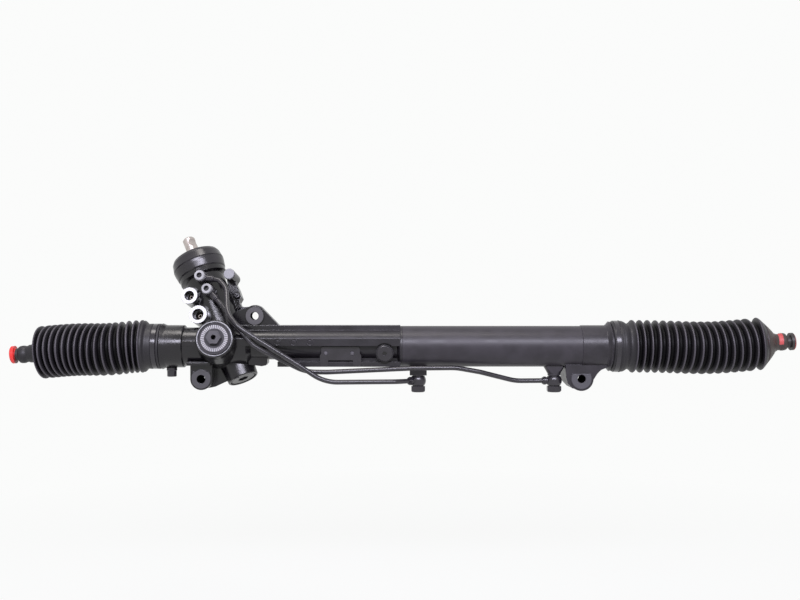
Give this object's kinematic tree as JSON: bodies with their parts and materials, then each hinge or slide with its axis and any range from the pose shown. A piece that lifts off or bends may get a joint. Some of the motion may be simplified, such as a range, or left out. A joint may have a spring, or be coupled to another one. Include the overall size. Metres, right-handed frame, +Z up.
{
  "type": "hydraulic power steering rack",
  "caption": "Hydraulic power rack-and-pinion steering gear with a leaning valve tower, cylinder, bellows, inner tie rods and steel lines.",
  "frame": {"origin": "centre of the bolt hole through the left mounting lug, 14 mm behind the lug's face", "axes": "+X along the rack towards the cylinder, +Z up, so the valve tower's ports face -Y"},
  "size_m": [0.9786, 0.1321, 0.1977],
  "materials": {
    "cast_aluminium_painted": "satin",
    "black_paint": "satin",
    "steel": "satin",
    "bare_aluminium": "cast",
    "rubber": "matte",
    "bearing_plastic": "matte",
    "red_plastic": "satin"
  },
  "bodies": {
    "housing": {"arm_bolt": "steel", "bearing_outer_race": "steel", "bellows_clamps": "black_paint", "cylinder_banjos": "black_paint", "cylinder_tube": "black_paint", "cylinder_union_bolts": "black_paint", "end_housing": "cast_aluminium_painted", "far_pipe": "black_paint", "inner_rack_seal": "rubber", "left_bellows": "rubber", "nameplate": "black_paint", "nameplate_rivets": "black_paint", "near_pipe": "black_paint", "needle_bearing": "steel", "outer_rack_seal": "rubber", "pinion_end_cap": "black_paint", "pinion_seal": "rubber", "port_seats": "bare_aluminium", "rack_bushing": "bearing_plastic", "rack_housing": "cast_aluminium_painted", "right_bellows": "rubber", "sealing_washers": "bare_aluminium", "service_plug": "black_paint", "shaft_bearing": "steel", "shaft_seal": "rubber", "valve_banjos": "steel", "valve_cap": "cast_aluminium_painted", "valve_union_bolts": "steel", "vent_fitting": "black_paint", "yoke": "bare_aluminium", "yoke_adjuster": "bare_aluminium", "yoke_liner": "bearing_plastic", "yoke_lock_ring": "black_paint", "yoke_o_ring": "rubber", "yoke_spring": "steel"},
    "rack": {"rack_bar": "steel", "piston": "steel", "piston_ring": "bearing_plastic", "piston_snap_rings": "steel", "lock_washers": "steel", "left_ball_housing": "steel", "right_ball_housing": "steel", "left_ball_seat": "bearing_plastic", "right_ball_seat": "bearing_plastic"},
    "pinion": {"pinion": "steel", "pinion_nut": "steel", "bearing_inner_race": "steel", "bearing_balls": "steel", "valve_sleeve": "steel", "sleeve_rings": "bearing_plastic", "torsion_bar": "steel"},
    "input": {"input_shaft": "steel", "torsion_pin": "steel"},
    "left_tie": {"left_tie_rod": "steel", "left_rod_plug": "red_plastic"},
    "right_tie": {"right_tie_rod": "steel", "right_rod_plug": "red_plastic"}
  },
  "joints": [
    {"name": "rack_slide", "type": "slide", "parent": "housing", "child": "rack", "axis": [1, 0, 0], "range_m": [-0.106, 0.035], "deforming": ["left_bellows", "right_bellows"]},
    {"name": "pinion_turn", "type": "hinge", "parent": "housing", "child": "pinion", "pos_m": [0.0335, 0.01505, 0.03531], "axis": [-0.3961, 0.284, 0.8732], "range_deg": [-795, 268]},
    {"name": "torsion_twist", "type": "hinge", "parent": "pinion", "child": "input", "pos_m": [0.0335, 0.01505, 0.03531], "axis": [-0.3961, 0.284, 0.8732], "range_deg": [-5, 5], "stiffness_Nm_per_rad": 80, "deforming": ["torsion_bar"]},
    {"name": "left_tie_swing", "type": "hinge", "parent": "rack", "child": "left_tie", "pos_m": [-0.128, 0, 0.0402], "axis": [0, 1, 0], "range_deg": [-8, 8]},
    {"name": "right_tie_swing", "type": "hinge", "parent": "rack", "child": "right_tie", "pos_m": [0.658, 0, 0.0402], "axis": [0, 1, 0], "range_deg": [-8, 8]}
  ],
  "couplings": [
    {"joint": "pinion_turn", "follows": "rack_slide", "rad_per_m": 130.69}
  ]
}
